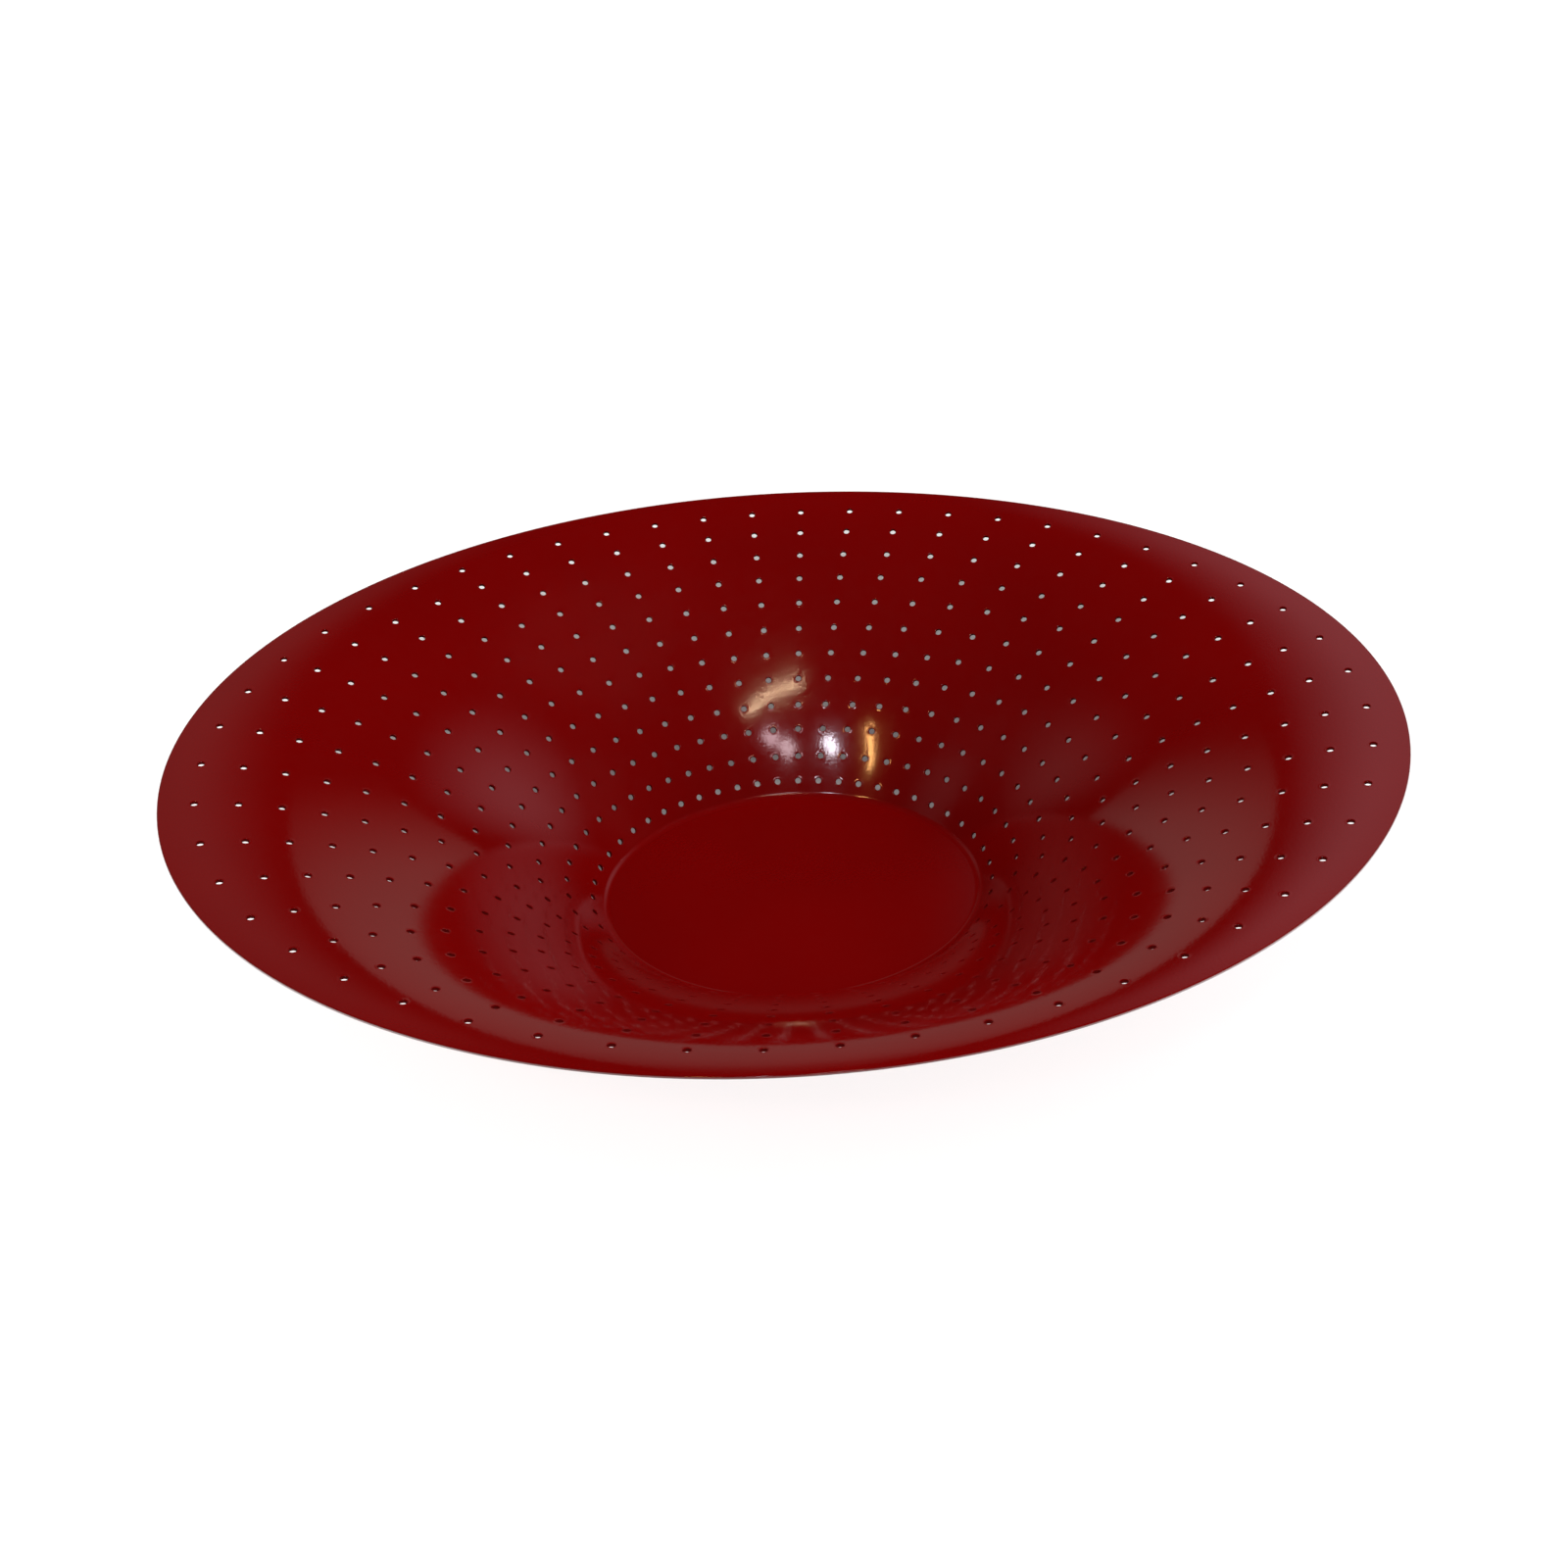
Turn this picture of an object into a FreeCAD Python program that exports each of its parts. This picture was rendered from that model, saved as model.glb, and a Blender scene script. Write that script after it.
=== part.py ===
"""Oval perforated sifter bowl, pressed from coated sheet steel.

Millimetres, +Z up. X runs along the bowl's length and Y across it. The
origin is the point on the resting surface below the middle of the bowl.

Pieces
  bowl_shell               one pressed sheet: flared wall, flat oval floor and
                           twelve rows of fifty-two punched holes
  front_left_foot,
  front_right_foot,
  rear_left_foot,
  rear_right_foot          low round non-slip pads under the floor
"""
import FreeCAD, Part
import math
import os

import Sketcher

doc = FreeCAD.newDocument("OvalSifterBowl")
sheet = doc.addObject("Spreadsheet::Sheet", "Dimensions")

# ---------------------------------------------------------------- dimensions
# Ovals of the wall, from low to high: half length (along X), half width
# (along Y), height of the inside surface above the inside floor, and the
# thickness of the sloping sheet measured straight down, in sheet thicknesses.
WALL = [
    ("wall_a", 64.26, 53.97, 12.56, 1.450),
    ("wall_b", 77.11, 66.79, 24.80, 1.330),
    ("wall_c", 89.96, 78.37, 34.68, 1.255),
    ("wall_d", 102.82, 88.62, 42.78, 1.205),
    ("wall_e", 115.67, 97.84, 49.45, 1.157),
    ("wall_f", 128.52, 106.37, 54.82, 1.108),
    ("wall_g", 140.62, 113.95, 58.63, 1.060),
    ("wall_h", 151.20, 120.11, 60.78, 1.022),
    ("rim", 160.00, 124.15, 61.54, 1.006),
]

# Rows of holes, from the rim down to the floor: half length and half width of
# the oval that the row lies on, its mean height above the inside floor, and
# how much higher it runs at the bowl's ends than at its mean (the rows dip
# towards the long sides, because the wall is steeper there).
ROWS = [
    ("row_a", 151.20, 115.14, 60.00, 0.74),
    ("row_b", 140.84, 107.91, 57.13, 1.51),
    ("row_c", 130.80, 100.88, 53.57, 2.10),
    ("row_d", 120.96, 94.23, 49.37, 2.52),
    ("row_e", 111.63, 87.59, 44.70, 2.77),
    ("row_f", 102.51, 80.95, 39.77, 2.86),
    ("row_g", 93.79, 74.63, 34.39, 2.81),
    ("row_h", 85.40, 68.49, 28.84, 2.62),
    ("row_i", 77.49, 62.34, 23.00, 2.29),
    ("row_j", 69.98, 56.85, 16.77, 1.78),
    ("row_k", 63.07, 51.03, 10.50, 1.12),
    ("row_l", 56.61, 46.01, 3.78, 0.20),
]

VALUES = {
    "sheet_thickness": 0.9,      # pressed steel with its coating
    "floor_half_length": 53.55,  # inside floor, to where it would meet the wall
    "floor_half_width": 42.87,
    "base_half_length": 53.97,   # the same corner on the underside
    "base_half_width": 43.29,
    "floor_radius": 3.0,         # inside bend between floor and wall
    "rim_radius": 0.35,          # dulled edge of the sheet
    "hole_diameter": 1.76,       # clear width through the coating
    "hole_columns": 52,
    # spread of the columns round the oval: they bunch towards the ends
    "spread_two": 0.0839,
    "spread_two_slope": -0.0279,
    "spread_four": 0.0081,
    "spread_four_slope": 0.0008,
    "spread_six": 0.0010,
    "foot_diameter": 12.0,
    "foot_height": 2.5,
    "foot_edge": 0.8,
    "foot_spacing_length": 62.0,
    "foot_spacing_width": 44.0,
}
for name, half_length, half_width, height, drop in WALL:
    VALUES[name + "_half_length"] = half_length
    VALUES[name + "_half_width"] = half_width
    VALUES[name + "_height"] = height
    VALUES[name + "_drop"] = drop
for name, half_length, half_width, height, wave in ROWS:
    VALUES[name + "_half_length"] = half_length
    VALUES[name + "_half_width"] = half_width
    VALUES[name + "_height"] = height
    VALUES[name + "_wave"] = wave

for line, (alias, value) in enumerate(VALUES.items(), start=1):
    sheet.set("A%d" % line, alias)
    sheet.set("B%d" % line, repr(value))
    sheet.setAlias("B%d" % line, alias)
doc.recompute()


def size(alias):
    return float(getattr(sheet, alias))


def plane(body, role="XY_Plane"):
    for feature in body.Origin.OriginFeatures:
        if feature.Role == role:
            return feature
    raise RuntimeError("no plane " + role)


def oval_sketch(body, name, length_rule, width_rule, height_rule):
    """An oval parallel to the floor, centred on the bowl's upright axis."""
    sketch = body.newObject("Sketcher::SketchObject", name)
    sketch.AttachmentSupport = [(plane(body), "")]
    sketch.MapMode = "FlatFace"
    sketch.addGeometry(
        Part.Ellipse(
            FreeCAD.Vector(60, 0, 0),
            FreeCAD.Vector(0, 50, 0),
            FreeCAD.Vector(0, 0, 0),
        ),
        False,
    )
    sketch.exposeInternalGeometry(0)
    sketch.addConstraint(Sketcher.Constraint("Coincident", 0, 3, -1, 1))
    sketch.addConstraint(Sketcher.Constraint("Horizontal", 1))
    length = sketch.addConstraint(Sketcher.Constraint("Distance", 1, 120.0))
    sketch.renameConstraint(length, "full_length")
    width = sketch.addConstraint(Sketcher.Constraint("Distance", 2, 100.0))
    sketch.renameConstraint(width, "full_width")
    sketch.setExpression("Constraints.full_length", "2 * (%s)" % length_rule)
    sketch.setExpression("Constraints.full_width", "2 * (%s)" % width_rule)
    sketch.setExpression("AttachmentOffset.Base.z", height_rule)
    return sketch


def level_edges(shape, low, high):
    """Closed edges that lie wholly between two heights."""
    names = []
    for index, edge in enumerate(shape.Edges, start=1):
        box = edge.BoundBox
        if box.ZMin > low and box.ZMax < high:
            names.append("Edge%d" % index)
    return names


# ---------------------------------------------------------------- bowl shell
bowl = doc.addObject("PartDesign::Body", "PressedBowl")
bowl.Label = "pressed_bowl"

# Outside form: the underside of the sheet, then a short upright band at the
# rim that carries the cut edge of the sheet.
outside = [oval_sketch(
    bowl, "Underside_floor",
    "Dimensions.base_half_length", "Dimensions.base_half_width",
    "-Dimensions.sheet_thickness")]
for name, _, _, _, _ in WALL:
    outside.append(oval_sketch(
        bowl, "Underside_" + name,
        "Dimensions.%s_half_length" % name,
        "Dimensions.%s_half_width" % name,
        "Dimensions.%s_height - Dimensions.sheet_thickness * Dimensions.%s_drop"
        % (name, name)))
doc.recompute()

form = bowl.newObject("PartDesign::AdditiveLoft", "OutsideForm")
form.Profile = outside[0]
form.Sections = outside[1:]
form.Ruled = False
form.Closed = False
doc.recompute()

band_oval = oval_sketch(
    bowl, "Rim_band_oval",
    "Dimensions.rim_half_length", "Dimensions.rim_half_width",
    "Dimensions.rim_height - Dimensions.sheet_thickness * Dimensions.rim_drop")
doc.recompute()
band = bowl.newObject("PartDesign::Pad", "RimBand")
band.Profile = band_oval
band.setExpression(
    "Length", "Dimensions.sheet_thickness * Dimensions.rim_drop + 0.08")
doc.recompute()

# Inside form: floor, wall and a little run-out past the rim, taken away.
inside = [oval_sketch(
    bowl, "Inside_floor",
    "Dimensions.floor_half_length", "Dimensions.floor_half_width", "0")]
for name, _, _, _, _ in WALL:
    inside.append(oval_sketch(
        bowl, "Inside_" + name,
        "Dimensions.%s_half_length" % name,
        "Dimensions.%s_half_width" % name,
        "Dimensions.%s_height" % name))
inside.append(oval_sketch(
    bowl, "Inside_run_out",
    "Dimensions.rim_half_length + 2.5",
    "Dimensions.rim_half_width + 1.4",
    "Dimensions.rim_height + 0.14"))
doc.recompute()
hollow = bowl.newObject("PartDesign::SubtractiveLoft", "InsideForm")
hollow.Profile = inside[0]
hollow.Sections = inside[1:]
hollow.Ruled = False
hollow.Closed = False
doc.recompute()

bend = bowl.newObject("PartDesign::Fillet", "FloorBend")
bend.Base = (hollow, level_edges(hollow.Shape, -0.05, 0.05))
bend.setExpression("Radius", "Dimensions.floor_radius")
doc.recompute()

thickness = size("sheet_thickness")
under_bend = bowl.newObject("PartDesign::Fillet", "UndersideBend")
under_bend.Base = (
    bend, level_edges(bend.Shape, -thickness - 0.05, -thickness + 0.05))
under_bend.setExpression(
    "Radius", "Dimensions.floor_radius + Dimensions.sheet_thickness")
doc.recompute()

rim_edge = bowl.newObject("PartDesign::Fillet", "RimEdge")
rim_edge.Base = (
    under_bend,
    level_edges(under_bend.Shape,
                size("rim_height") - 1.1 * thickness,
                size("rim_height") + 0.3))
rim_edge.setExpression("Radius", "Dimensions.rim_radius")
bowl.Tip = rim_edge
bowl.setExpression(
    "Placement.Base.z", "Dimensions.foot_height + Dimensions.sheet_thickness")
doc.recompute()

# Holes: each is punched square to the sheet where it stands.
inner_face = None
probe = FreeCAD.Vector(size("wall_c_half_length"), 0, size("wall_c_height"))
for face in hollow.Shape.Faces:
    if face.Surface.TypeId != "Part::GeomBSplineSurface":
        continue
    near = face.Surface.value(*face.Surface.parameter(probe))
    if near.distanceToPoint(probe) < 0.05:
        inner_face = face
if inner_face is None:
    raise RuntimeError("the inside wall was not found")
wall_surface = inner_face.Surface


def column_angle(turn, depth):
    """Where a column stands round the oval, at a share of the way down."""
    return (
        turn
        + (size("spread_two") + size("spread_two_slope") * depth) * math.sin(2 * turn)
        + (size("spread_four") + size("spread_four_slope") * depth) * math.sin(4 * turn)
        + size("spread_six") * math.sin(6 * turn)
    )


columns = int(size("hole_columns"))
pins = []
for index, (name, _, _, _, _) in enumerate(ROWS):
    depth = index / float(len(ROWS) - 1)
    for column in range(columns):
        angle = column_angle(2.0 * math.pi * column / columns, depth)
        guess = FreeCAD.Vector(
            size(name + "_half_length") * math.cos(angle),
            size(name + "_half_width") * math.sin(angle),
            size(name + "_height") + size(name + "_wave") * math.cos(2 * angle),
        )
        u, v = wall_surface.parameter(guess)
        point = wall_surface.value(u, v)
        normal = wall_surface.normal(u, v)
        pins.append(Part.makeCylinder(
            0.5 * size("hole_diameter"), 4.0, point - normal * 2.0, normal))
punches = doc.addObject("Part::Feature", "Punches")
punches.Shape = Part.makeCompound(pins)
punches.setExpression("Placement.Base.z", "PressedBowl.Placement.Base.z")

shell = doc.addObject("Part::Cut", "PerforatedBowl")
shell.Base = bowl
shell.Tool = punches
shell.Label = "bowl_shell"
doc.recompute()

# ---------------------------------------------------------------------- feet
feet = []
for label, along, across in (
    ("front_left_foot", -1, -1),
    ("front_right_foot", 1, -1),
    ("rear_left_foot", -1, 1),
    ("rear_right_foot", 1, 1),
):
    foot = doc.addObject("PartDesign::Body", "".join(
        word.capitalize() for word in label.split("_")))
    foot.Label = label
    disc = foot.newObject("Sketcher::SketchObject", label + "_disc")
    disc.AttachmentSupport = [(plane(foot), "")]
    disc.MapMode = "FlatFace"
    disc.addGeometry(
        Part.Circle(FreeCAD.Vector(0, 0, 0), FreeCAD.Vector(0, 0, 1), 5.0), False)
    disc.addConstraint(Sketcher.Constraint("Coincident", 0, 3, -1, 1))
    across_disc = disc.addConstraint(Sketcher.Constraint("Diameter", 0, 10.0))
    disc.renameConstraint(across_disc, "diameter")
    disc.setExpression("Constraints.diameter", "Dimensions.foot_diameter")
    doc.recompute()
    pad = foot.newObject("PartDesign::Pad", label + "_pad")
    pad.Profile = disc
    pad.setExpression("Length", "Dimensions.foot_height")
    doc.recompute()
    soften = foot.newObject("PartDesign::Fillet", label + "_edge")
    soften.Base = (pad, level_edges(pad.Shape, -0.05, 0.05))
    soften.setExpression("Radius", "Dimensions.foot_edge")
    foot.Tip = soften
    foot.setExpression(
        "Placement.Base.x", "%d * Dimensions.foot_spacing_length / 2" % along)
    foot.setExpression(
        "Placement.Base.y", "%d * Dimensions.foot_spacing_width / 2" % across)
    feet.append(foot)
doc.recompute()

# -------------------------------------------------------------------- checks
for item in doc.Objects:
    if any(word in item.State for word in ("Invalid", "Error")):
        raise RuntimeError("%s failed: %s" % (item.Label, item.State))
pieces = [shell] + feet
for piece in pieces:
    shape = piece.Shape
    if shape.isNull() or not shape.isValid() or len(shape.Solids) != 1:
        raise RuntimeError("%s has no sound single solid" % piece.Label)
    print("%-18s volume %.1f mm3, solids %d, faces %d" % (
        piece.Label, shape.Volume, len(shape.Solids), len(shape.Faces)))
punched = bowl.Shape.Volume - shell.Shape.Volume
expected = (columns * len(ROWS) * math.pi * (0.5 * size("hole_diameter")) ** 2
            * thickness)
print("punched away %.1f mm3, expected about %.1f mm3" % (punched, expected))
if abs(punched - expected) > 0.05 * expected:
    raise RuntimeError("the holes did not all go through")

os.makedirs("parts", exist_ok=True)
for piece in pieces:
    piece.Shape.exportStep("parts/%s.step" % piece.Label)
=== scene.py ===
import math

import bpy
import numpy as np
from mathutils import Matrix, Vector


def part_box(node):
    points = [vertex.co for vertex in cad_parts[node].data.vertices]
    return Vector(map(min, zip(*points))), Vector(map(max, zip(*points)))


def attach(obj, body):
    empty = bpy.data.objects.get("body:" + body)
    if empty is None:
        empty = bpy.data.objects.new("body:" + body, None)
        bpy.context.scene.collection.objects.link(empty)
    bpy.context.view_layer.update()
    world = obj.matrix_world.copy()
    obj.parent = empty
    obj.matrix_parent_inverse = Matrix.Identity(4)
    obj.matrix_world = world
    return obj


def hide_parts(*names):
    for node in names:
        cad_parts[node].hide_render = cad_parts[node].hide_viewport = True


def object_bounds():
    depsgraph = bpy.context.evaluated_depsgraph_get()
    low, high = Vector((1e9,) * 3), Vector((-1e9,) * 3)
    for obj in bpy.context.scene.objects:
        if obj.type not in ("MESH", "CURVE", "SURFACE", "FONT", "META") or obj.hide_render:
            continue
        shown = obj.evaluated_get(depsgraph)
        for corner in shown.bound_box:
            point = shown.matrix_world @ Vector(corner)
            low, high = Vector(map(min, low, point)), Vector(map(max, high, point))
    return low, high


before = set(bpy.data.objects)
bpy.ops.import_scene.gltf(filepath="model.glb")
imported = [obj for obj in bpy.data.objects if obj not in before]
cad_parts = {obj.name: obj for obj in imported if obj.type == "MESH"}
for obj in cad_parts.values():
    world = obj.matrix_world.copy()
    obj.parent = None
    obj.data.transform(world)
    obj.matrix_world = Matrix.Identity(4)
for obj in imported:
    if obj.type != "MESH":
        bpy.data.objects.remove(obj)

cad_low, cad_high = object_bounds()
MM = 0.001

# ------------------------------------------------------------------ dimensions
# The same ovals as the CAD model: half length, half width and height of the
# inside surface above the inside floor, in millimetres.
FLOOR = (53.55, 42.87, 0.00)
WALL = [
    FLOOR,
    (64.26, 53.97, 12.56),
    (77.11, 66.79, 24.80),
    (89.96, 78.37, 34.68),
    (102.82, 88.62, 42.78),
    (115.67, 97.84, 49.45),
    (128.52, 106.37, 54.82),
    (140.62, 113.95, 58.63),
    (151.20, 120.11, 60.78),
    (160.00, 124.15, 61.54),
    (162.50, 125.55, 61.68),
]
RIM_INDEX = 9
ROWS = [
    (151.20, 115.14, 60.00, 0.74),
    (140.84, 107.91, 57.13, 1.51),
    (130.80, 100.88, 53.57, 2.10),
    (120.96, 94.23, 49.37, 2.52),
    (111.63, 87.59, 44.70, 2.77),
    (102.51, 80.95, 39.77, 2.86),
    (93.79, 74.63, 34.39, 2.81),
    (85.40, 68.49, 28.84, 2.62),
    (77.49, 62.34, 23.00, 2.29),
    (69.98, 56.85, 16.77, 1.78),
    (63.07, 51.03, 10.50, 1.12),
    (56.61, 46.01, 3.78, 0.20),
]
COLUMNS = 52
THICKNESS = 0.9
FLOOR_RADIUS = 3.0
RIM_RADIUS = 0.35
HOLE_RADIUS = 0.88
shell_low, shell_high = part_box("bowl_shell")
FLOOR_TOP = shell_low[2] / MM + THICKNESS


# ---------------------------------------------------------------- wall surface
def spline(knots, values):
    """Natural cubic spline through the values; returns value and slope."""
    n = len(knots)
    h = np.diff(knots)
    system = np.zeros((n, n))
    right = np.zeros(n)
    system[0, 0] = system[-1, -1] = 1.0
    for i in range(1, n - 1):
        system[i, i - 1] = h[i - 1]
        system[i, i] = 2.0 * (h[i - 1] + h[i])
        system[i, i + 1] = h[i]
        right[i] = 6.0 * ((values[i + 1] - values[i]) / h[i]
                          - (values[i] - values[i - 1]) / h[i - 1])
    bend = np.linalg.solve(system, right)

    def at(s):
        s = np.asarray(s, float)
        i = np.clip(np.searchsorted(knots, s) - 1, 0, n - 2)
        step = h[i]
        left = (knots[i + 1] - s) / step
        rest = (s - knots[i]) / step
        value = (left * values[i] + rest * values[i + 1]
                 + ((left ** 3 - left) * bend[i]
                    + (rest ** 3 - rest) * bend[i + 1]) * step ** 2 / 6.0)
        slope = ((values[i + 1] - values[i]) / step
                 + ((3 * rest ** 2 - 1) * bend[i + 1]
                    - (3 * left ** 2 - 1) * bend[i]) * step / 6.0)
        return value, slope
    return at


wall = np.array(WALL)
chords = np.sqrt(((wall[1:, [0, 2]] - wall[:-1, [0, 2]]) ** 2).sum(1))
KNOTS = np.concatenate([[0.0], np.cumsum(chords)])
S_RIM = KNOTS[RIM_INDEX]
length_at = spline(KNOTS, wall[:, 0])
width_at = spline(KNOTS, wall[:, 1])
height_at = spline(KNOTS, wall[:, 2])


def wall_point(angle, s):
    """Point, unit normal into the bowl and unit direction up the wall."""
    a, da = length_at(s)
    b, db = width_at(s)
    z, dz = height_at(s)
    cos, sin = np.cos(angle), np.sin(angle)
    point = np.stack([a * cos, b * sin, z], -1)
    round_way = np.stack([-a * sin, b * cos, 0.0 * z], -1)
    up_way = np.stack([da * cos, db * sin, dz], -1)
    normal = np.cross(round_way, up_way)
    normal /= np.linalg.norm(normal, axis=-1, keepdims=True)
    flip = np.where(normal[..., 2:3] < 0, -1.0, 1.0)
    normal = normal * flip
    up = up_way / np.linalg.norm(up_way, axis=-1, keepdims=True)
    return point, normal, up, round_way, up_way


def row_place(row, turn):
    """Angle and distance up the wall of a row, at a turn round the bowl."""
    depth = row / float(len(ROWS) - 1)
    angle = (turn + (0.0839 - 0.0279 * depth) * np.sin(2 * turn)
             + (0.0081 + 0.0008 * depth) * np.sin(4 * turn)
             + 0.0010 * np.sin(6 * turn))
    half_length, half_width, _, _ = ROWS[row]
    x = half_length * np.cos(angle)
    y = half_width * np.sin(angle)
    low = np.zeros_like(x)
    high = np.full_like(x, KNOTS[-1])
    for _ in range(50):
        middle = 0.5 * (low + high)
        a = length_at(middle)[0]
        b = width_at(middle)[0]
        outside = (x / a) ** 2 + (y / b) ** 2 > 1.0
        low = np.where(outside, middle, low)
        high = np.where(outside, high, middle)
    s = 0.5 * (low + high)
    a = length_at(s)[0]
    b = width_at(s)[0]
    return np.arctan2(y / b, x / a), s


def bend_start(angle):
    """Where the wall meets the bend above the floor."""
    low = np.zeros_like(angle)
    high = np.full_like(angle, 12.0)
    for _ in range(40):
        middle = 0.5 * (low + high)
        point, normal, _, _, _ = wall_point(angle, middle)
        below = point[..., 2] < FLOOR_RADIUS * (1.0 - normal[..., 2])
        low = np.where(below, middle, low)
        high = np.where(below, high, middle)
    return 0.5 * (low + high)


# ------------------------------------------------------------------ shell mesh
SUB = 6                              # mesh steps along each side of a hole's cell
RING = 4 * SUB
ACROSS = COLUMNS * SUB
verts, normals, faces = [], [], []
bore_faces = []


def add(points, ways):
    start = sum(len(v) for v in verts)
    verts.append(np.asarray(points).reshape(-1, 3))
    normals.append(np.asarray(ways).reshape(-1, 3))
    return start + np.arange(verts[-1].shape[0]).reshape(np.asarray(points).shape[:-1])


def unwrap_near(angle, target):
    return angle + 2 * math.pi * np.round((target - angle) / (2 * math.pi))


turns = 2 * math.pi * np.arange(ACROSS) / ACROSS
row_angle = np.zeros((len(ROWS), ACROSS))
row_s = np.zeros((len(ROWS), ACROSS))
for r in range(len(ROWS)):
    angle, s = row_place(r, turns)
    row_angle[r] = unwrap_near(angle, turns)
    row_s[r] = s

# Lattice of points along the cells' borders. Line 0 is above the first row,
# line 12 below the last; each line holds ACROSS points, and SUB - 1 levels lie
# between one line and the next on the columns' borders.
line_angle = np.zeros((len(ROWS) + 1, ACROSS))
line_s = np.zeros((len(ROWS) + 1, ACROSS))
for q in range(1, len(ROWS)):
    line_angle[q] = 0.5 * (row_angle[q - 1] + row_angle[q])
    line_s[q] = 0.5 * (row_s[q - 1] + row_s[q])
line_angle[0] = row_angle[0]
line_s[0] = np.minimum(row_s[0] + 0.5 * (row_s[0] - row_s[1]),
                       0.5 * (row_s[0] + S_RIM))
line_angle[-1] = row_angle[-1]
line_s[-1] = bend_start(line_angle[-1])

level_angle = {}
level_s = {}
for q in range(len(ROWS)):
    for i in range(SUB + 1):
        f = i / float(SUB)
        # two straight runs: border line to row, row to border line
        if f <= 0.5:
            g = 2 * f
            ang = (1 - g) * line_angle[q] + g * row_angle[q]
            ss = (1 - g) * line_s[q] + g * row_s[q]
        else:
            g = 2 * f - 1
            ang = (1 - g) * row_angle[q] + g * line_angle[q + 1]
            ss = (1 - g) * row_s[q] + g * line_s[q + 1]
        level_angle[(q, i)] = ang
        level_s[(q, i)] = ss

half = SUB // 2
inner_line, outer_line = {}, {}


def both_skins(angle, s):
    point, normal, _, _, _ = wall_point(angle, s)
    inner = add(point, normal)
    outer = add(point - normal * THICKNESS, -normal)
    return inner, outer


for q in range(len(ROWS) + 1):
    inner_line[q], outer_line[q] = both_skins(line_angle[q], line_s[q])
inner_post, outer_post = {}, {}
post_columns = (np.arange(COLUMNS) * SUB + half) % ACROSS
for q in range(len(ROWS)):
    for i in range(1, SUB):
        inner_post[(q, i)], outer_post[(q, i)] = both_skins(
            level_angle[(q, i)][post_columns], level_s[(q, i)][post_columns])

# The lip of a hole, from the flat sheet to the middle of the sheet: distance
# from the hole's centre and height over the sheet's face.
LIP = [(1.78, 0.000), (1.52, 0.030), (1.30, 0.052), (1.14, 0.020),
       (1.04, -0.070), (1.00, -0.190)]
lip_r = np.array([p[0] for p in LIP]) * HOLE_RADIUS
lip_h = np.array([p[1] for p in LIP])
lip_tilt = []
for k in range(len(LIP)):
    before = LIP[max(k - 1, 0)]
    after = LIP[min(k + 1, len(LIP) - 1)]
    run, rise = before[0] - after[0], before[1] - after[1]
    size = math.hypot(run, rise)
    lip_tilt.append((-rise / size, run / size))   # outwards part, upwards part
lip_tilt[0] = (0.0, 1.0)
lip_tilt[-1] = (-1.0, 0.0)
BANDS = [0.16, 0.42, 0.70]


def ring_faces(outer_ring, inner_ring, turned):
    count = len(outer_ring)
    for k in range(count):
        n = (k + 1) % count
        quad = (outer_ring[k], outer_ring[n], inner_ring[n], inner_ring[k])
        faces.append(quad[::-1] if turned else quad)


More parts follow.
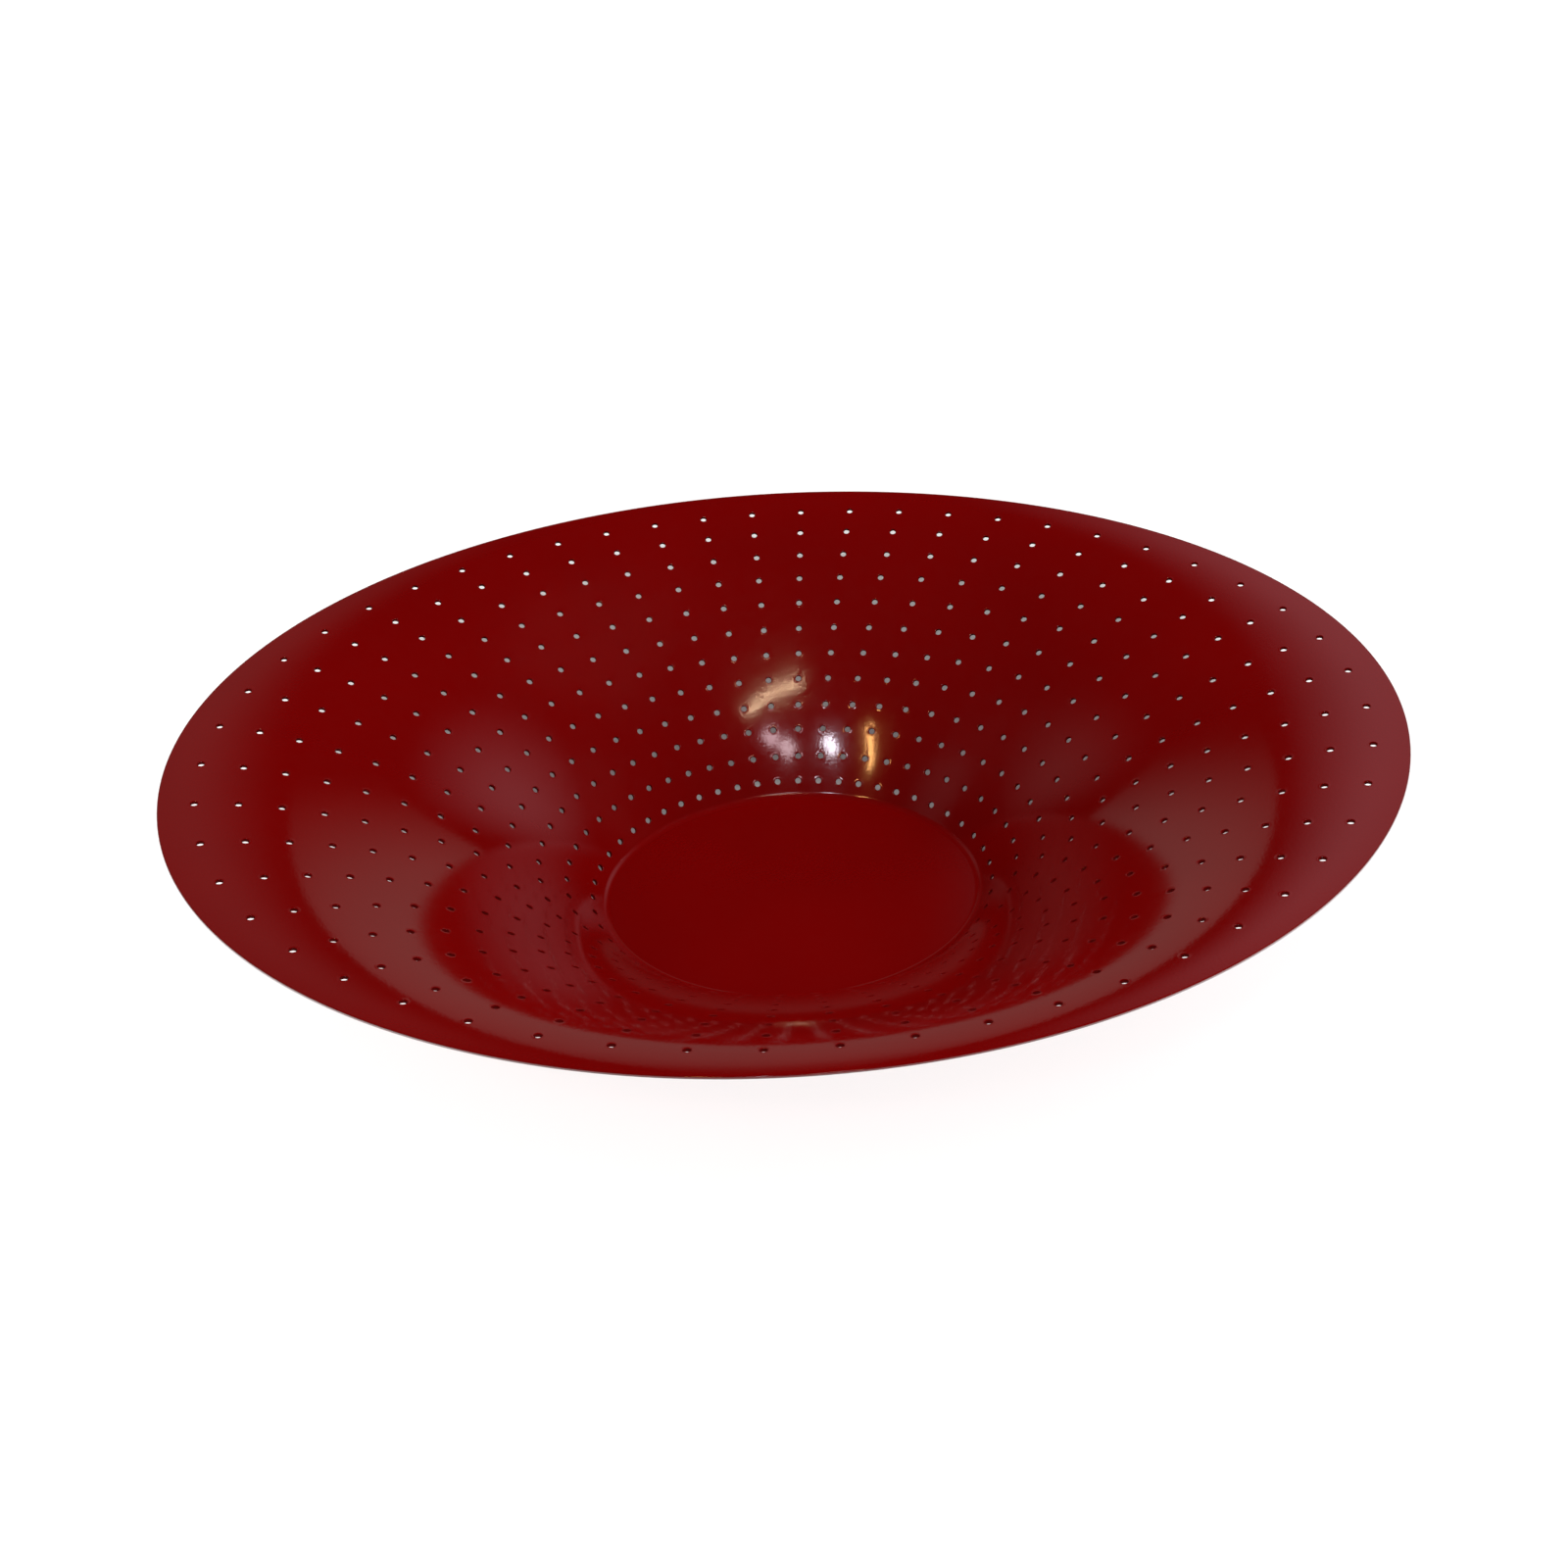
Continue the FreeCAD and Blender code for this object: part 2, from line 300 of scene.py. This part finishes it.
for q in range(len(ROWS)):
    for c in range(COLUMNS):
        centre_column = (c * SUB) % ACROSS
        c_angle = row_angle[q][centre_column]
        c_s = row_s[q][centre_column]
        left = (c * SUB - half) % ACROSS
        # border of the cell, anticlockwise in (column, row) order
        border_angle, border_s, border_in, border_out = [], [], [], []
        for i in range(SUB):
            column = (c * SUB - half + i) % ACROSS
            border_angle.append(line_angle[q][column])
            border_s.append(line_s[q][column])
            border_in.append(inner_line[q][column])
            border_out.append(outer_line[q][column])
        for i in range(SUB):
            column = (c * SUB + half) % ACROSS
            if i == 0:
                border_angle.append(line_angle[q][column])
                border_s.append(line_s[q][column])
                border_in.append(inner_line[q][column])
                border_out.append(outer_line[q][column])
            else:
                border_angle.append(level_angle[(q, i)][column])
                border_s.append(level_s[(q, i)][column])
                border_in.append(inner_post[(q, i)][c])
                border_out.append(outer_post[(q, i)][c])
        for i in range(SUB):
            column = (c * SUB + half - i) % ACROSS
            border_angle.append(line_angle[q + 1][column])
            border_s.append(line_s[q + 1][column])
            border_in.append(inner_line[q + 1][column])
            border_out.append(outer_line[q + 1][column])
        for i in range(SUB):
            column = (c * SUB - half) % ACROSS
            before = (c - 1) % COLUMNS
            if i == 0:
                border_angle.append(line_angle[q + 1][column])
                border_s.append(line_s[q + 1][column])
                border_in.append(inner_line[q + 1][column])
                border_out.append(outer_line[q + 1][column])
            else:
                border_angle.append(level_angle[(q, SUB - i)][column])
                border_s.append(level_s[(q, SUB - i)][column])
                border_in.append(inner_post[(q, SUB - i)][before])
                border_out.append(outer_post[(q, SUB - i)][before])
        border_angle = unwrap_near(np.array(border_angle), c_angle)
        border_s = np.array(border_s)

        centre, normal, up, round_way, up_way = wall_point(c_angle, c_s)
        side = np.cross(up, normal)
        side /= np.linalg.norm(side)
        border_point = wall_point(border_angle, border_s)[0]
        offset = border_point - centre
        way = np.arctan2(offset @ up, offset @ side)
        way = np.unwrap(way)
        even = way[0] + (way[-1] - way[0]) * np.arange(RING) / (RING - 1)
        way = 0.5 * way + 0.5 * even
        cos, sin = np.cos(way), np.sin(way)

        jacobian = np.array([[round_way @ side, up_way @ side],
                             [round_way @ up, up_way @ up]])
        inverse = np.linalg.inv(jacobian)

        def circle(radius):
            target = radius * np.stack([cos, sin])
            place = inverse @ target
            for _ in range(3):
                point = wall_point(c_angle + place[0], c_s + place[1])[0] - centre
                place = place + inverse @ (target - np.stack([point @ side, point @ up]))
            return c_angle + place[0], c_s + place[1]

        first_angle, first_s = circle(lip_r[0])
        for skin, (border, sign) in enumerate(((border_in, 1.0), (border_out, -1.0))):
            rings = [np.array(border)]
            for band in BANDS[::-1]:
                ang = (1 - band) * first_angle + band * border_angle
                ss = (1 - band) * first_s + band * border_s
                point, n, _, _, _ = wall_point(ang, ss)
                if skin == 0:
                    rings.append(add(point, n))
                else:
                    rings.append(add(point - n * THICKNESS, -n))
            for k in range(len(LIP)):
                ang, ss = circle(lip_r[k])
                point, n, _, _, _ = wall_point(ang, ss)
                outwards = cos[:, None] * side + sin[:, None] * up
                outwards = outwards - n * (outwards * n).sum(-1, keepdims=True)
                outwards /= np.linalg.norm(outwards, axis=-1, keepdims=True)
                base = point if skin == 0 else point - n * THICKNESS
                point = base + sign * n * lip_h[k]
                tilt = outwards * lip_tilt[k][0] + sign * n * lip_tilt[k][1]
                rings.append(add(point, tilt))
            for outer_ring, inner_ring in zip(rings[:-2], rings[1:-1]):
                ring_faces(outer_ring, inner_ring, skin == 0)
            first_bore = len(faces)
            ring_faces(rings[-2], rings[-1], skin == 0)
            if skin == 0:
                bore_in = rings[-1]
            else:
                ring_faces(bore_in, rings[-1], True)
            bore_faces.extend(range(first_bore, len(faces)))


def belt(one, two, turned):
    """Faces between two closed lines of the same number of points."""
    count = len(one)
    for k in range(count):
        n = (k + 1) % count
        quad = (one[k], one[n], two[n], two[k])
        faces.append(quad[::-1] if turned else quad)


# Margin between the first row and the rim, and the rounded edge of the sheet.
upper_in, upper_out = [inner_line[0]], [outer_line[0]]
s_edge = np.full(ACROSS, S_RIM - RIM_RADIUS)
for f in (0.34, 0.67, 1.0):
    s = (1 - f) * line_s[0] + f * s_edge
    i_line, o_line = both_skins(line_angle[0], s)
    upper_in.append(i_line)
    upper_out.append(o_line)
for one, two in zip(upper_in[:-1], upper_in[1:]):
    belt(one, two, False)
for one, two in zip(upper_out[:-1], upper_out[1:]):
    belt(one, two, True)
point, normal, up, _, _ = wall_point(line_angle[0], s_edge)
edge_lines = [upper_in[-1]]
for k in range(1, 5):
    t = 0.5 * math.pi * k / 4
    edge_lines.append(add(
        point + up * RIM_RADIUS * math.sin(t) - normal * RIM_RADIUS * (1 - math.cos(t)),
        normal * math.cos(t) + up * math.sin(t)))
for k in range(0, 4):
    t = 0.5 * math.pi * k / 4
    edge_lines.append(add(
        point + up * RIM_RADIUS * math.cos(t)
        - normal * (THICKNESS - RIM_RADIUS * (1 - math.sin(t))),
        up * math.cos(t) - normal * math.sin(t)))
edge_lines.append(upper_out[-1])
for one, two in zip(edge_lines[:-1], edge_lines[1:]):
    belt(one, two, False)

# Bend and floor.
point, normal, up, round_way, _ = wall_point(line_angle[-1], line_s[-1])
flat = np.cross(round_way, [0.0, 0.0, 1.0])
flat[:, 2] = 0.0
flat /= np.linalg.norm(flat, axis=1, keepdims=True)
flat *= np.where((flat * point).sum(1, keepdims=True) < 0, -1.0, 1.0)
rake = np.arccos(np.clip(normal[:, 2], -1, 1))
inner_lines, outer_lines = [inner_line[len(ROWS)]], [outer_line[len(ROWS)]]
for k in range(1, 9):
    t = rake * (1 - k / 8.0)
    place = point - flat * (FLOOR_RADIUS * (np.sin(rake) - np.sin(t)))[:, None]
    place[:, 2] = FLOOR_RADIUS * (1 - np.cos(t))
    lean = -flat * np.sin(t)[:, None]
    lean[:, 2] = np.cos(t)
    inner_lines.append(add(place, lean))
    outer_lines.append(add(place - lean * THICKNESS, -lean))
border = place.copy()
for f in (0.90, 0.75, 0.58, 0.40, 0.22, 0.08):
    ring = border * [f, f, 1.0]
    inner_lines.append(add(ring, np.tile([0.0, 0.0, 1.0], (ACROSS, 1))))
    outer_lines.append(add(ring - [0, 0, THICKNESS], np.tile([0.0, 0.0, -1.0], (ACROSS, 1))))
for one, two in zip(inner_lines[:-1], inner_lines[1:]):
    belt(one, two, True)
for one, two in zip(outer_lines[:-1], outer_lines[1:]):
    belt(one, two, False)
middle_in = add([[0.0, 0.0, 0.0]], [[0.0, 0.0, 1.0]])[0]
middle_out = add([[0.0, 0.0, -THICKNESS]], [[0.0, 0.0, -1.0]])[0]
for k in range(ACROSS):
    n = (k + 1) % ACROSS
    faces.append((inner_lines[-1][k], inner_lines[-1][n], middle_in))
    faces.append((outer_lines[-1][n], outer_lines[-1][k], middle_out))

all_verts = np.concatenate(verts)
all_normals = np.concatenate(normals)
all_verts = (all_verts + [0.0, 0.0, FLOOR_TOP]) * MM
all_normals /= np.linalg.norm(all_normals, axis=1, keepdims=True)

mesh = bpy.data.meshes.new("bowl_shell_visual")
mesh.from_pydata(all_verts.tolist(), [], [tuple(int(i) for i in f) for f in faces])
mesh.validate()
mesh.update()
mesh.polygons.foreach_set("use_smooth", [True] * len(mesh.polygons))
# Any face that looks away from its corners' normals is turned over.
import bmesh
bm = bmesh.new()
bm.from_mesh(mesh)
bmesh.ops.recalc_face_normals(bm, faces=bm.faces)
boundary = sum(1 for e in bm.edges if len(e.link_faces) != 2)
print("shell mesh: %d vertices, %d faces, %d open edges" % (
    len(bm.verts), len(bm.faces), boundary))
bm.to_mesh(mesh)
bm.free()
mesh.normals_split_custom_set_from_vertices(all_normals.tolist())
shell = bpy.data.objects.new("bowl_shell_visual", mesh)
bpy.context.scene.collection.objects.link(shell)
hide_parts("bowl_shell")
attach(shell, "root")


# ------------------------------------------------------------------- materials
def material(name):
    mat = bpy.data.materials.new(name)
    mat.use_nodes = True
    tree = mat.node_tree
    tree.nodes.clear()
    out = tree.nodes.new("ShaderNodeOutputMaterial")
    bsdf = tree.nodes.new("ShaderNodeBsdfPrincipled")
    tree.links.new(bsdf.outputs["BSDF"], out.inputs["Surface"])
    return mat, tree, bsdf


def noise(tree, coords, scale, detail=3.0, rough=0.5):
    node = tree.nodes.new("ShaderNodeTexNoise")
    node.inputs["Scale"].default_value = scale
    node.inputs["Detail"].default_value = detail
    node.inputs["Roughness"].default_value = rough
    tree.links.new(coords, node.inputs["Vector"])
    return node.outputs["Fac"]


def ramp(tree, fac, low, high, a, b):
    node = tree.nodes.new("ShaderNodeMapRange")
    node.inputs["From Min"].default_value = low
    node.inputs["From Max"].default_value = high
    node.inputs["To Min"].default_value = a
    node.inputs["To Max"].default_value = b
    tree.links.new(fac, node.inputs["Value"])
    return node.outputs["Result"]


def mix_colour(tree, fac, one, two):
    node = tree.nodes.new("ShaderNodeMix")
    node.data_type = "RGBA"
    node.inputs["A"].default_value = (*one, 1.0)
    node.inputs["B"].default_value = (*two, 1.0)
    tree.links.new(fac, node.inputs["Factor"])
    return node.outputs["Result"]


red, tree, bsdf = material("red_coating")
coords = tree.nodes.new("ShaderNodeTexCoord").outputs["Object"]
broad = noise(tree, coords, 18.0, 2.0)
tree.links.new(
    mix_colour(tree, ramp(tree, broad, 0.3, 0.7, 0.0, 1.0),
               (0.118, 0.0002, 0.0002), (0.130, 0.0003, 0.0003)),
    bsdf.inputs["Base Color"])
bsdf.inputs["IOR"].default_value = 1.5
fine = noise(tree, coords, 260.0, 2.0)
tree.links.new(ramp(tree, fine, 0.3, 0.7, 0.11, 0.15), bsdf.inputs["Roughness"])
bsdf.inputs["Coat Weight"].default_value = 1.0
bsdf.inputs["Coat Roughness"].default_value = 0.05
bsdf.inputs["Coat IOR"].default_value = 1.5
peel = noise(tree, coords, 1300.0, 2.0, 0.55)
bump = tree.nodes.new("ShaderNodeBump")
bump.inputs["Strength"].default_value = 0.5
bump.inputs["Distance"].default_value = 0.000028
tree.links.new(peel, bump.inputs["Height"])
tree.links.new(bump.outputs["Normal"], bsdf.inputs["Normal"])
tree.links.new(bump.outputs["Normal"], bsdf.inputs["Coat Normal"])
shell.data.materials.append(red)

# The cut walls of the holes: the same coating, thin and matt; their darker colour is painted
# shade inside the holes.
bore_red_painted_shade, tree, bsdf = material("red_coating_in_holes_painted_shade")
coords = tree.nodes.new("ShaderNodeTexCoord").outputs["Object"]
grain = noise(tree, coords, 1500.0, 2.0)
# Base colour about half the coating's: painted shade in the holes, with random grain on top.
tree.links.new(
    mix_colour(tree, ramp(tree, grain, 0.3, 0.7, 0.0, 1.0),
               (0.055, 0.0002, 0.0002), (0.080, 0.0006, 0.0006)),
    bsdf.inputs["Base Color"])
tree.links.new(ramp(tree, grain, 0.3, 0.7, 0.75, 0.9), bsdf.inputs["Roughness"])
bsdf.inputs["Specular IOR Level"].default_value = 0.05
shell.data.materials.append(bore_red_painted_shade)
indices = np.zeros(len(shell.data.polygons), dtype=np.int32)
indices[np.array(bore_faces)] = 1
shell.data.polygons.foreach_set("material_index", indices)

rubber, tree, bsdf = material("foot_rubber")
coords = tree.nodes.new("ShaderNodeTexCoord").outputs["Object"]
dust = noise(tree, coords, 900.0, 4.0)
tree.links.new(
    mix_colour(tree, ramp(tree, dust, 0.35, 0.75, 0.0, 1.0),
               (0.022, 0.021, 0.021), (0.050, 0.048, 0.047)),
    bsdf.inputs["Base Color"])
tree.links.new(ramp(tree, dust, 0.3, 0.7, 0.55, 0.78), bsdf.inputs["Roughness"])
bump = tree.nodes.new("ShaderNodeBump")
bump.inputs["Strength"].default_value = 0.25
bump.inputs["Distance"].default_value = 0.0002
tree.links.new(dust, bump.inputs["Height"])
tree.links.new(bump.outputs["Normal"], bsdf.inputs["Normal"])
for name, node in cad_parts.items():
    if name.endswith("_foot"):
        for index in range(max(1, len(node.material_slots))):
            if len(node.material_slots) == 0:
                node.data.materials.append(rubber)
            node.material_slots[index].material = rubber

# ------------------------------------------------------------ floor and lights
floor_mesh = bpy.data.meshes.new("studio_floor")
reach = 6.0
floor_mesh.from_pydata(
    [(-reach, -reach, 0), (reach, -reach, 0), (reach, reach, 0), (-reach, reach, 0)],
    [], [(0, 1, 2, 3)])
floor = bpy.data.objects.new("studio_floor", floor_mesh)
floor.location.z = cad_low[2]
bpy.context.scene.collection.objects.link(floor)
paper, tree, bsdf = material("studio_paper")
bsdf.inputs["Base Color"].default_value = (0.72, 0.72, 0.72, 1)
bsdf.inputs["Roughness"].default_value = 0.9
bsdf.inputs["Specular IOR Level"].default_value = 0.0
floor.data.materials.append(paper)

world = bpy.data.worlds.new("studio_world")
bpy.context.scene.world = world
world.use_nodes = True
world.node_tree.nodes["Background"].inputs["Color"].default_value = (1, 1, 1, 1)
world.node_tree.nodes["Background"].inputs["Strength"].default_value = 0.46
world.cycles_visibility.glossy = False


def studio_light(name, azimuth, elevation, size_x, size_y, power, colour=(1, 1, 1),
                 distance=2.0, mirrored=True, tilt=0.0):
    """A soft box: azimuth 0 is behind the bowl and 90 on its right."""
    azimuth, elevation = math.radians(azimuth), math.radians(elevation)
    way = Vector((math.sin(azimuth) * math.cos(elevation),
                  math.cos(azimuth) * math.cos(elevation), math.sin(elevation)))
    data = bpy.data.lights.new(name, "AREA")
    data.shape = "RECTANGLE"
    data.size = size_x
    data.size_y = size_y
    data.energy = power
    data.color = colour
    lamp = bpy.data.objects.new(name, data)
    middle = Vector((0.0, 0.02, 0.03))
    lamp.location = middle + way * distance
    turn = (-way).to_track_quat("-Z", "Y").to_matrix()
    lamp.rotation_euler = (turn @ Matrix.Rotation(math.radians(tilt), 3, "Z")).to_euler()
    lamp.visible_glossy = mirrored
    lamp.visible_camera = False
    bpy.context.scene.collection.objects.link(lamp)
    return lamp


def lights_only(lamp, receivers):
    """Keep a lamp's light to the objects of one collection."""
    lamp.light_linking.receiver_collection = receivers
    return lamp


on_bowl = bpy.data.collections.new("lit_by_fill")
for name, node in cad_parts.items():
    if name.endswith("_foot"):
        on_bowl.objects.link(node)
on_bowl.objects.link(shell)
on_floor = bpy.data.collections.new("lit_by_key")
on_floor.objects.link(floor)

# Small lamps in front, whose images are the bright spots on the far wall.
studio_light("lamp_strip", 174.1, 62.2, 0.49, 0.009, 0.95, (1.0, 0.72, 0.44), tilt=-25.0)
studio_light("lamp_amber", -138.8, 48.7, 0.024, 0.38, 1.70, (1.0, 0.50, 0.16))
studio_light("lamp_white", -158.3, 50.0, 0.10, 0.17, 1.35, (0.92, 0.88, 1.0), tilt=-28.0)
studio_light("lamp_pale_left", 173.9, 53.0, 0.13, 0.15, 0.42, (1.0, 0.74, 0.82), tilt=-40.0)
studio_light("lamp_pale_right", -178.8, 50.0, 0.13, 0.15, 0.48, (1.0, 0.78, 0.84), tilt=-40.0)


def soft_card(name, azimuth, elevation, size_x, size_y, glow, colour, edge=0.6,
              place=None):
    """A dim glowing card that fades towards its edge, seen only as a mirror image."""
    azimuth, elevation = math.radians(azimuth), math.radians(elevation)
    way = Vector((math.sin(azimuth) * math.cos(elevation),
                  math.cos(azimuth) * math.cos(elevation), math.sin(elevation)))
    data = bpy.data.meshes.new(name)
    data.from_pydata([(-1, -1, 0), (1, -1, 0), (1, 1, 0), (-1, 1, 0)], [], [(0, 1, 2, 3)])
    card = bpy.data.objects.new(name, data)
    card.scale = (size_x / 2, size_y / 2, 1)
    if place is None:
        card.location = Vector((0.0, 0.02, 0.03)) + way * 2.0
    else:
        card.location = place
    card.rotation_euler = way.to_track_quat("Z", "Y").to_euler()
    bpy.context.scene.collection.objects.link(card)
    look = bpy.data.materials.new(name)
    look.use_nodes = True
    tree = look.node_tree
    tree.nodes.clear()
    out = tree.nodes.new("ShaderNodeOutputMaterial")
    lit = tree.nodes.new("ShaderNodeEmission")
    lit.inputs["Color"].default_value = (*colour, 1.0)
    spot = tree.nodes.new("ShaderNodeTexCoord").outputs["Object"]
    length = tree.nodes.new("ShaderNodeVectorMath")
    length.operation = "LENGTH"
    tree.links.new(spot, length.inputs[0])
    fade = tree.nodes.new("ShaderNodeMapRange")
    fade.interpolation_type = "SMOOTHSTEP"
    fade.inputs["From Min"].default_value = 1.0 - edge
    fade.inputs["From Max"].default_value = 1.0
    fade.inputs["To Min"].default_value = glow
    fade.inputs["To Max"].default_value = 0.0
    tree.links.new(length.outputs["Value"], fade.inputs["Value"])
    tree.links.new(fade.outputs["Result"], lit.inputs["Strength"])
    tree.links.new(lit.outputs["Emission"], out.inputs["Surface"])
    data.materials.append(look)
    card.visible_camera = False
    card.visible_diffuse = False
    card.visible_shadow = False
    card.visible_transmission = False
    return card


# Dim pale walls at the sides and behind.
soft_card("card_left", -100, 34, 1.3, 1.0, 0.09, (1.0, 0.64, 0.62), 0.9)
soft_card("card_back", 4, 9, 4.2, 2.3, 0.20, (1.0, 0.70, 0.64), 0.85)
# Two nearer ones, mirrored in the rim on either side.
soft_card("card_near_right", 50, 40, 0.40, 0.40, 0.36, (1.0, 0.62, 0.68), 1.0,
          (0.250, 0.235, 0.245))
soft_card("card_near_left", -40, 40, 0.36, 0.36, 0.14, (1.0, 0.62, 0.60), 1.0,
          (-0.220, 0.275, 0.250))
# Broad soft fill on the bowl, kept out of the mirror images.
for lamp in (
    studio_light("fill_right", 85, 34, 1.0, 0.8, 20.0, mirrored=False),
    studio_light("fill_right_top", 90, 66, 1.0, 0.8, 21.0, mirrored=False),
    studio_light("fill_left_top", -80, 40, 1.0, 0.8, 9.0, mirrored=False),
    studio_light("fill_front", 180, 60, 1.0, 0.8, 1.5, mirrored=False),
):
    lights_only(lamp, on_bowl)


def floor_sun(name, azimuth, elevation, strength, spread, colour):
    """Even light over the whole floor, from one side."""
    azimuth, elevation = math.radians(azimuth), math.radians(elevation)
    way = Vector((math.sin(azimuth) * math.cos(elevation),
                  math.cos(azimuth) * math.cos(elevation), math.sin(elevation)))
    data = bpy.data.lights.new(name, "SUN")
    data.energy = strength
    data.angle = math.radians(spread)
    data.color = colour
    lamp = bpy.data.objects.new(name, data)
    lamp.location = way * 2.0
    lamp.rotation_euler = (-way).to_track_quat("-Z", "Y").to_euler()
    lamp.visible_glossy = False
    lamp.visible_camera = False
    bpy.context.scene.collection.objects.link(lamp)
    return lights_only(lamp, on_floor)


# The floor's own key light comes from the front, so that the bowl's soft
# shadow falls behind it.
floor_sun("key_floor", -176, 34, 6.2, 24, (1.0, 1.0, 1.0))

# ---------------------------------------------------------------------- camera
yaw, lift, roll = (math.radians(v) for v in (-4.179, 35.397, -2.243))
back = Vector((math.sin(yaw) * math.cos(lift), -math.cos(yaw) * math.cos(lift), math.sin(lift)))
right = Vector((math.cos(yaw), math.sin(yaw), 0))
up = back.cross(right)
place = back * 0.40988 + Vector((0, 0, 0.0600 + FLOOR_TOP * MM))
back = (back + right * 0.00303 + up * 0.04191).normalized()
right = (right - back * right.dot(back)).normalized()
up = back.cross(right)
right, up = (right * math.cos(roll) + up * math.sin(roll),
             up * math.cos(roll) - right * math.sin(roll))
camera_data = bpy.data.cameras.new("camera")
camera_data.sensor_width = 36.0
camera_data.lens = 35.797
camera_data.clip_start = 0.01
camera = bpy.data.objects.new("camera", camera_data)
camera.matrix_world = Matrix((
    (right.x, up.x, back.x, place.x),
    (right.y, up.y, back.y, place.y),
    (right.z, up.z, back.z, place.z),
    (0, 0, 0, 1)))
bpy.context.scene.collection.objects.link(camera)
bpy.context.scene.camera = camera
bpy.context.scene.view_settings.view_transform = "Standard"
bpy.context.scene.view_settings.look = "None"
